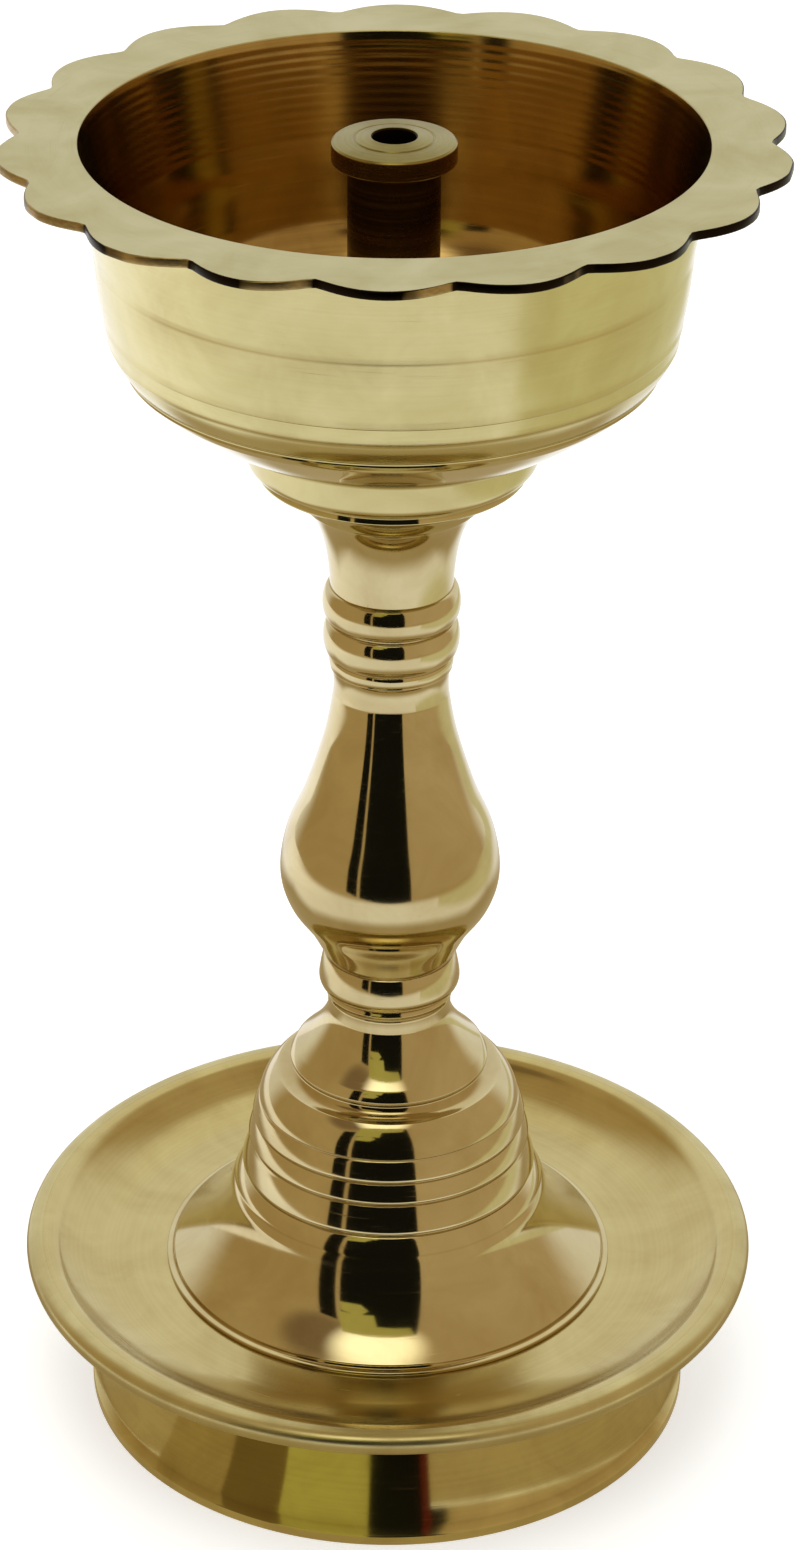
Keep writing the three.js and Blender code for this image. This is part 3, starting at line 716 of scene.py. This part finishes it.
def petal_tree(materials):
    """Geometry nodes that file the edge of a round flat rim into petals, a little uneven as by hand."""
    drift_scale, valley_roundness, fullness, short_share = 2.4, 0.01, 0.45, 0.35
    sizes = ("Petals", "Turn", "Tip Radius", "Valley Radius", "Flat Radius", "Unevenness", "Seed")
    tree, given = geometry_tree("filed_petals", "Geometry", *sizes)
    x, y, z, radius, outward = from_axis(tree)
    edge_zone = {"Value": radius, 1: given["Flat Radius"], 2: given["Tip Radius"]}
    share = add_node(tree, "ShaderNodeMapRange", edge_zone)
    # The hand wanders: petals drift in place and in reach
    wandering = {"Vector": outward, "W": given["Seed"], "Scale": drift_scale, "Detail": 2.0}
    drift = add_node(tree, "ShaderNodeTexNoise", wandering, noise_dimensions="4D")
    spread = add_node(tree, "ShaderNodeSeparateXYZ", {0: drift.outputs["Color"]})
    wander = add_node(tree, "ShaderNodeMath", {0: spread.outputs["X"], 1: 0.5}, operation="SUBTRACT")
    reach = add_node(tree, "ShaderNodeMath", {0: spread.outputs["Y"], 1: 0.5}, operation="SUBTRACT")
    turn = add_node(tree, "ShaderNodeMath", {0: x, 1: y}, operation="ARCTAN2")
    turned_on = add_node(tree, "ShaderNodeMath", {0: turn, 1: given["Turn"]}, operation="ADD")
    uneven = {0: wander, 1: given["Unevenness"], 2: turned_on}
    place = add_node(tree, "ShaderNodeMath", uneven, operation="MULTIPLY_ADD")
    half_petals = add_node(tree, "ShaderNodeMath", {0: given["Petals"], 1: 2.0}, operation="DIVIDE")
    phase = add_node(tree, "ShaderNodeMath", {0: place, 1: half_petals}, operation="MULTIPLY")
    wave = add_node(tree, "ShaderNodeMath", {0: phase}, operation="COSINE")
    # Rounded petals meet in valleys that the file leaves slightly round
    valley = {0: wave, 1: wave, 2: valley_roundness}
    square = add_node(tree, "ShaderNodeMath", valley, operation="MULTIPLY_ADD")
    swell = add_node(tree, "ShaderNodeMath", {0: square, 1: fullness}, operation="POWER")
    from_tip = {0: given["Tip Radius"], 1: given["Valley Radius"]}
    depth = add_node(tree, "ShaderNodeMath", from_tip, operation="SUBTRACT")
    missing = add_node(tree, "ShaderNodeMath", {0: 1.0, 1: swell}, operation="SUBTRACT")
    filed = add_node(tree, "ShaderNodeMath", {0: missing, 1: depth}, operation="MULTIPLY")
    short = add_node(tree, "ShaderNodeMath", {0: reach, 1: short_share}, operation="MULTIPLY")
    shorter = add_node(tree, "ShaderNodeMath", {0: short, 1: depth, 2: filed}, operation="MULTIPLY_ADD")
    taken = add_node(tree, "ShaderNodeMath", {0: shorter, 1: 0.0}, operation="MAXIMUM")
    inward = add_node(tree, "ShaderNodeMath", {0: taken, 1: -1.0}, operation="MULTIPLY")
    move = add_node(tree, "ShaderNodeVectorMath", {0: outward, "Scale": inward}, operation="SCALE")
    shared = add_node(tree, "ShaderNodeVectorMath", {0: move, "Scale": share}, operation="SCALE")
    edge = add_node(tree, "GeometryNodeSetPosition", {"Geometry": given["Geometry"], "Offset": shared})
    finished = add_node(tree, "GeometryNodeRealizeInstances", {0: edge})
    slot = add_node(tree, "GeometryNodeInputMaterialIndex")
    for number, material in enumerate(materials):
        pair = {2: slot, 3: number}
        same = add_node(tree, "FunctionNodeCompare", pair, data_type="INT", operation="EQUAL")
        finish = {"Geometry": finished, "Selection": same, "Material": material}
        finished = add_node(tree, "GeometryNodeSetMaterial", finish)
    add_node(tree, "NodeGroupOutput", {0: finished})
    return tree


bowl_finishes = [bowl_brass, rim_brass, oiled_brass, raw_brass, pale_brass, filed_shaded_brass, floor_brass]
oil_bowl = turned("oil_bowl_filed", bowl_outline(), bowl_finishes, flats=324)
petal_values = {
    "Petals": 18.0,
    "Turn": math.radians(-1),
    "Tip Radius": RIM_TIP_RADIUS * MM,
    "Valley Radius": RIM_VALLEY_RADIUS * MM,
    "Flat Radius": RIM_FLAT_RADIUS * MM,
    "Unevenness": 0.05,
    "Seed": 3.0,
}
made_by_nodes(oil_bowl, petal_tree(bowl_finishes), petal_values)
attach(oil_bowl, "bowl")
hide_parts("oil_bowl")

# Wick tube
# A brass tube screwed into the bowl's floor. The wick comes up through its bore, and four small holes near
# the floor let the oil in to it. It is dark with old oil.
WICK_TUBE_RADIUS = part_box("wick_tube")[1].x / MM
WICK_TUBE_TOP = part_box("wick_tube")[1].z / MM
WICK_PITCH = 1.25
WICK_SEAT_RADIUS = 3.95
WICK_SEAT_BOTTOM = 171.7
WICK_BORE_RADIUS = 2.65
WICK_BORE_BOTTOM = 145.4
PORT_RADIUS = 1.6
PORT_HEIGHT = 147.4

# Smoke and oil have browned the tube: it mirrors softly and stays dark
tube_brass = turned_brass("smoked_brass", "#7d6236", "#33230e", 0.24, 0.6, 0.006, streak=0.3)


def tube_outline():
    chamfer = 0.4
    outline = Outline(0, WICK_BOTTOM).line(WICK_SCREW_RADIUS - chamfer, WICK_BOTTOM)
    rise = BOWL_FLOOR - WICK_BOTTOM - chamfer
    steps = round(rise / WICK_PITCH * THREAD_CUTS_PER_TURN)
    for step in range(steps + 1):
        outline.line(WICK_SCREW_RADIUS, WICK_BOTTOM + chamfer + rise * step / steps)
    outline.line(WICK_TUBE_RADIUS - 0.2, BOWL_FLOOR).line(WICK_TUBE_RADIUS, BOWL_FLOOR + 0.2)
    outline.line(WICK_TUBE_RADIUS, WICK_TUBE_TOP - 0.15).line(WICK_TUBE_RADIUS - 0.15, WICK_TUBE_TOP)
    outline.line(WICK_SEAT_RADIUS, WICK_TUBE_TOP).line(WICK_SEAT_RADIUS, WICK_SEAT_BOTTOM)
    outline.line(WICK_BORE_RADIUS, WICK_SEAT_BOTTOM).line(WICK_BORE_RADIUS, WICK_BORE_BOTTOM)
    return outline.line(0, WICK_BORE_BOTTOM)


def bore(piece, drill):
    """Cuts the drill's shape out of the piece."""
    cut = piece.modifiers.new("bore", "BOOLEAN")
    cut.operation = "DIFFERENCE"
    cut.solver = "EXACT"
    cut.object = drill
    settled(piece, cut, crease=35)
    bpy.data.objects.remove(drill)


def cross_drill(turn):
    """A rod as long as the tube is wide, lying at port height across the axis."""
    reach = WICK_TUBE_RADIUS + 1
    outline = Outline(0, -reach).line(PORT_RADIUS, -reach).line(PORT_RADIUS, reach).line(0, reach)
    drill = turned("port_drill", outline, [tube_brass], flats=40, edge=0)
    lie_down = Matrix.Rotation(turn, 4, "Z") @ Matrix.Rotation(math.pi / 2, 4, "Y")
    drill.data.transform(Matrix.Translation((0, 0, PORT_HEIGHT * MM)) @ lie_down)
    return drill


wick_tube = turned("wick_tube_turned", tube_outline(), [tube_brass], flats=96, edge=0.08)
for port_turn in (0, math.pi / 2):
    bore(wick_tube, cross_drill(port_turn))
thread_cut(wick_tube, WICK_SCREW_RADIUS, WICK_BOTTOM, BOWL_FLOOR, WICK_PITCH, tube_brass)
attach(wick_tube, "wick_tube")
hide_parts("wick_tube")

# Wick disc
# A drilled brass button that drops into the tube and keeps the flame clear of it. Its domed top is faced on
# the lathe, with one fine ring round the hole.
WICK_DISC_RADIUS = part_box("wick_disc")[1].x / MM
WICK_DISC_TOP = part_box("wick_disc")[1].z / MM
WICK_COLLAR_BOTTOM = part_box("wick_disc")[0].z / MM
WICK_COLLAR_RADIUS = 3.9
DISC_EDGE_HEIGHT = WICK_DISC_TOP - 0.6
DISC_SKIRT = 0.25

# Rubbed satin, a little browner than the rim from the heat
disc_brass = turned_brass(
    "heat_tinted_brass", "#93864a", "#6a5a2c", 0.3, 0.3, 0.003, streak=0.12, brushed=0.75
)
# Its edge is browner still
browned_brass = turned_brass("browned_edge_brass", "#957641", "#5d4520", 0.22, 0.3, 0.003, streak=0.15)
# The bore is near black: painted shade down the hole, over the flame's soot
shaded_bore_brass = turned_brass("shaded_sooted_bore_brass", "#2a1d10", "#0f0a06", 0.5, 0.4, 0.004, pits=0.02)

disc_outline = (
    Outline(WICK_BORE_RADIUS, WICK_COLLAR_BOTTOM + 2, finish=1)
    .line(WICK_BORE_RADIUS, WICK_COLLAR_BOTTOM)
    .turn_to(0)
    .line(WICK_COLLAR_RADIUS, WICK_COLLAR_BOTTOM)
    .line(WICK_COLLAR_RADIUS, WICK_TUBE_TOP)
    .turn_to(2)
    .line(WICK_TUBE_RADIUS + 0.25, WICK_TUBE_TOP)
    .line(WICK_TUBE_RADIUS + 0.3, WICK_TUBE_TOP - DISC_SKIRT)
    .line(WICK_DISC_RADIUS - 0.2, WICK_TUBE_TOP - DISC_SKIRT)
    .line(WICK_DISC_RADIUS, WICK_TUBE_TOP - DISC_SKIRT + 0.2)
    .line(WICK_DISC_RADIUS, DISC_EDGE_HEIGHT - 0.2)
    .turn_to(0)
    .line(WICK_DISC_RADIUS - 0.25, DISC_EDGE_HEIGHT)
    .bend(6.2, WICK_DISC_TOP - 0.4, 5.0, WICK_DISC_TOP - 0.34, steps=10)
    .line(4.9, WICK_DISC_TOP - 0.4)
    .line(4.7, WICK_DISC_TOP - 0.4)
    .line(4.6, WICK_DISC_TOP - 0.26)
    .line(WICK_BORE_RADIUS + 0.2, WICK_DISC_TOP)
    .turn_to(1)
    .line(WICK_BORE_RADIUS, WICK_DISC_TOP - 0.2)
    .line(WICK_BORE_RADIUS, WICK_COLLAR_BOTTOM + 2)
)
disc_finishes = [disc_brass, shaded_bore_brass, browned_brass]
disc = turned("wick_disc_turned", disc_outline, disc_finishes, flats=144, edge=0.12)
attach(disc, "wick_disc")
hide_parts("wick_disc")

# Floor and light
# A plain white table under a soft white room, dim and warm behind the camera. Cards and cloths that only the
# polished metal sees give it something dark to mirror.


def pale_floor():
    """White laminate. In the brass it shows a painted shadow, warm and darker, close to the foot, a painted
    pool of light at the back on the left, cream on the right, and fades into the dim room where it ends in
    front."""
    near_start, near_end, near_shift, far_start, far_end = 0.08, 0.14, 0.056, 0.28, 0.38
    material, tree = blank_material("white_table")
    rays = add_node(tree, "ShaderNodeLightPath").outputs
    glow = add_node(tree, "ShaderNodeMath", {0: rays["Is Camera Ray"], 1: 0.5}, operation="MULTIPLY")
    laminate = {"Base Color": linear("#f2f2f0"), "Roughness": 0.7, "Emission Strength": glow}
    table = add_node(tree, "ShaderNodeBsdfPrincipled", laminate)
    place = add_node(tree, "ShaderNodeTexCoord").outputs["Object"]
    reach = add_node(tree, "ShaderNodeVectorMath", {0: place}, operation="LENGTH").outputs["Value"]
    axes = add_node(tree, "ShaderNodeSeparateXYZ", {0: place})
    soft = {"interpolation_type": "SMOOTHSTEP"}
    # The painted shadow round the foot, warm and darker, reaches further at the back
    shadow_reach = add_node(tree, "ShaderNodeMapRange", {"Value": axes.outputs["Y"], 2: 0.07, 4: near_shift})
    inside = add_node(tree, "ShaderNodeMath", {0: reach, 1: shadow_reach}, operation="SUBTRACT")
    out_of_shadow = add_node(tree, "ShaderNodeMapRange", {"Value": inside, 1: near_start, 2: near_end}, **soft)
    ending = add_node(tree, "ShaderNodeMapRange", {"Value": reach, 1: far_start, 2: far_end}, **soft)
    ahead = add_node(tree, "ShaderNodeMapRange", {"Value": axes.outputs["Y"], 1: 0.2, 2: -0.05}, **soft)
    fading = add_node(tree, "ShaderNodeMath", {0: ending, 1: ahead}, operation="MULTIPLY")
    # How far a place lies to the back left, and how far past the line where the cream begins
    to_back_left, past_line = (
        add_node(tree, "ShaderNodeVectorMath", {0: place, 1: way}, operation="DOT_PRODUCT").outputs["Value"]
        for way in ((-0.75, 0.65, 0), (0.613, 0.79, 0))
    )
    # Painted pool of light: the back left is brighter than plain white
    lit = add_node(tree, "ShaderNodeMapRange", {"Value": to_back_left, 2: 0.3}, **soft)
    beyond = add_node(tree, "ShaderNodeMapRange", {"Value": past_line, 1: -0.02, 2: -0.014})
    rightward = add_node(tree, "ShaderNodeMapRange", {"Value": axes.outputs["X"], 1: 0.13, 2: 0.2}, **soft)
    cream = add_node(tree, "ShaderNodeMath", {0: beyond, 1: rightward}, operation="MULTIPLY")
    whites = {"Factor": lit, 6: (1, 1, 1, 1), 7: (1.3, 1.3, 1.35, 1)}
    white = add_node(tree, "ShaderNodeMix", whites, data_type="RGBA").outputs[2]
    # Close to the foot the painted shadow darkens and warms the white
    warm = {"Factor": out_of_shadow, 6: linear("#bba984"), 7: white}
    seen = add_node(tree, "ShaderNodeMix", warm, data_type="RGBA").outputs[2]
    for share, tint in ((cream, "#e2dfbd"), (fading, "#c3ac82")):
        layer = {"Factor": share, 6: seen, 7: linear(tint)}
        seen = add_node(tree, "ShaderNodeMix", layer, data_type="RGBA").outputs[2]
    mirrored = add_node(tree, "ShaderNodeEmission", {"Color": seen})
    surface = add_node(tree, "ShaderNodeMixShader", {0: rays["Is Glossy Ray"], 1: table, 2: mirrored})
    add_node(tree, "ShaderNodeOutputMaterial", {"Surface": surface})
    return material


def flat_card(name, corners, material):
    mesh = bpy.data.meshes.new(name)
    mesh.from_pydata(corners, [], [tuple(range(len(corners)))])
    mesh.materials.append(material)
    card = placed(name, mesh)
    return card


SIDE, FRONT, BACK = 0.38, -0.36, 1.0
floor_corners = [(-SIDE, FRONT, 0), (SIDE, FRONT, 0), (SIDE, BACK, 0), (-SIDE, BACK, 0)]
flat_card("floor", floor_corners, pale_floor())


def shade_for_brass(name, colour):
    """Matt card or cloth. Only the brass sees it, so it shines as bright as it would look there."""
    material, tree = blank_material(name)
    seen = add_node(tree, "ShaderNodeEmission", {"Color": linear(colour)})
    add_node(tree, "ShaderNodeOutputMaterial", {"Surface": seen})
    return material


def mirrored_card(name, corners, material):
    """A flat or folded card that only the brass sees."""
    card = flat_card(name, corners, material)
    card.visible_camera = card.visible_diffuse = card.visible_shadow = False


black_card = shade_for_brass("black_card", "#151511")
straw_card = shade_for_brass("straw_card", "#bdb76a")
# Black cards in front of the lamp: name, the angles from the lamp to their two sides, and top
CARD_DISTANCE, CARD_FOOT, SCRAP_DISTANCE = 0.33, 0.001, 0.327
for name, left, right, top in (("black_card_front", -30, 21, 0.52), ("black_card_left", -44, -33, 0.4)):
    ends = [CARD_DISTANCE * math.tan(math.radians(angle)) for angle in (left, right)]
    outline = ((ends[0], CARD_FOOT), (ends[1], CARD_FOOT), (ends[1], top), (ends[0], top))
    mirrored_card(name, [(x, -CARD_DISTANCE, z) for x, z in outline], black_card)
# Straw coloured scraps pinned to the black card
for name, scrap in {
    "straw_scrap_low": [(-0.19, 0.235), (-0.1, 0.23), (-0.07, 0.27), (-0.1, 0.31), (-0.185, 0.3)],
    "straw_scrap_high": [(-0.2, 0.31), (-0.05, 0.3), (-0.04, 0.4), (0.09, 0.42), (0.12, 0.52), (-0.2, 0.52)],
}.items():
    mirrored_card(name, [(x, -SCRAP_DISTANCE, z) for x, z in scrap], straw_card)
# Strips of cloth standing round the front of the foot, under the tray: name, from angle, to angle, cloth
CLOTH_REACH, CLOTH_FOOT, CLOTH_TOP, CLOTH_FOLDS = 0.0495, 0.0005, 0.013, 6
for name, left, right, cloth in (
    ("dull_cloth", -60, -40, shade_for_brass("dull_card", "#aa9566")),
    ("brown_cloth", -40, -25, shade_for_brass("brown_card", "#79653b")),
    ("straw_cloth", -25, -4.1, straw_card),
    ("black_cloth", -4.1, 8.4, black_card),
    ("red_cloth", 8.4, 10.4, shade_for_brass("red_card", "#5e1d16")),
):
    turns = [math.radians(left + (right - left) * fold / CLOTH_FOLDS) for fold in range(CLOTH_FOLDS + 1)]
    places = [(CLOTH_REACH * math.sin(turn), -CLOTH_REACH * math.cos(turn)) for turn in turns]
    hem = [(x, y, CLOTH_TOP) for x, y in reversed(places)]
    mirrored_card(name, [(x, y, CLOTH_FOOT) for x, y in places] + hem, cloth)


def soft_room():
    """White behind the lamp and for the camera; in the brass the room in front is dim and warm."""
    world = bpy.data.worlds.new("soft_room")
    world.use_nodes = True
    tree = world.node_tree
    tree.nodes.clear()
    soft = {"interpolation_type": "SMOOTHSTEP"}
    front_ends, back_begins, side = 0.36, 0.7, 0.8
    way_there = add_node(tree, "ShaderNodeTexCoord").outputs["Generated"]
    way = add_node(tree, "ShaderNodeSeparateXYZ", {0: way_there})
    depth = {"Value": way.outputs["Y"], 1: front_ends, 2: back_begins}
    behind = add_node(tree, "ShaderNodeMapRange", depth, **soft)
    to_right = add_node(tree, "ShaderNodeMapRange", {"Value": way.outputs["X"], 1: -side, 2: side})
    rays = add_node(tree, "ShaderNodeLightPath").outputs
    warms = {"Factor": to_right, 6: linear("#bfa87c"), 7: linear("#cab592")}
    warm = add_node(tree, "ShaderNodeMix", warms, data_type="RGBA").outputs[2]
    # Grey lights the lamp, the brass mirrors the warm walls, and the back of the room is white
    layers = [(rays["Is Glossy Ray"], warm), (behind, linear("#fbfbfb"))]
    # Soft patches of ceiling: a dark one on the left, a skylight high in front and a lit one at the back
    for way_up, edge, middle, glow in (
        ((-0.45, -0.35, 0.82), 0.945, 0.99, (0.26, 0.18, 0.1, 1)),
        ((-0.06, -0.42, 0.9), 0.935, 0.99, (2.0, 1.95, 1.7, 1)),
        ((0.05, 0.5, 0.86), 0.925, 0.975, (0.98, 0.96, 0.85, 1)),
    ):
        ways = {0: way_there, 1: Vector(way_up).normalized()}
        near = add_node(tree, "ShaderNodeVectorMath", ways, operation="DOT_PRODUCT").outputs["Value"]
        patch = add_node(tree, "ShaderNodeMapRange", {"Value": near, 1: edge, 2: middle}, **soft)
        layers.append((patch, glow))
    seen = linear("#bfbfbf")
    for share, colour in [*layers, (rays["Is Camera Ray"], (1, 1, 1, 1))]:
        layer = {"Factor": share, 6: seen, 7: colour}
        seen = add_node(tree, "ShaderNodeMix", layer, data_type="RGBA").outputs[2]
    room = add_node(tree, "ShaderNodeBackground", {"Color": seen})
    add_node(tree, "ShaderNodeOutputWorld", {"Surface": room})
    return world


bpy.context.scene.world = soft_room()

# A square soft box overhead faces the lamp's middle. The brass doesn't mirror it
LAMP_MIDDLE = Vector((0, 0, 0.09))
top_light_data = bpy.data.lights.new("top_light", "AREA")
top_light_data.shape = "SQUARE"
top_light_data.size = 0.6
top_light_data.energy = 2
top_light = placed("top_light", top_light_data)
top_light.location = (-0.12, -0.3, 1.0)
top_light.rotation_euler = (LAMP_MIDDLE - top_light.location).to_track_quat("-Z", "Y").to_euler()
top_light.visible_glossy = False

# Camera
# It stands where the photograph was taken from: straight in front of the lamp and above it, looking down,
# and rolled by a hair.
CAMERA_PLACE = Vector((0, -519.1, 374.8)) * MM
CAMERA_PITCH = math.radians(28.61)
CAMERA_ROLL = math.radians(-0.347)
FRAME_HEIGHT = 1550
FOCAL_PIXELS = 4638.8
AXIS_LEFT_OF_CENTRE = 7.9

camera_data = bpy.data.cameras.new("camera")
camera_data.sensor_width = 36
camera_data.lens = camera_data.sensor_width * FOCAL_PIXELS / FRAME_HEIGHT
camera_data.shift_x = AXIS_LEFT_OF_CENTRE / FRAME_HEIGHT
camera_data.clip_start = 0.01
camera_data.clip_end = 20
camera = placed("camera", camera_data)
right, up = Vector((1, 0, 0)), Vector((0, math.sin(CAMERA_PITCH), math.cos(CAMERA_PITCH)))
forward = Vector((0, math.cos(CAMERA_PITCH), -math.sin(CAMERA_PITCH)))
rolled_right = right * math.cos(CAMERA_ROLL) - up * math.sin(CAMERA_ROLL)
rolled_up = right * math.sin(CAMERA_ROLL) + up * math.cos(CAMERA_ROLL)
looking = Matrix((rolled_right, rolled_up, -forward)).transposed().to_4x4()
camera.matrix_world = Matrix.Translation(CAMERA_PLACE) @ looking
bpy.context.scene.camera = camera
bpy.context.scene.view_settings.view_transform = "Standard"
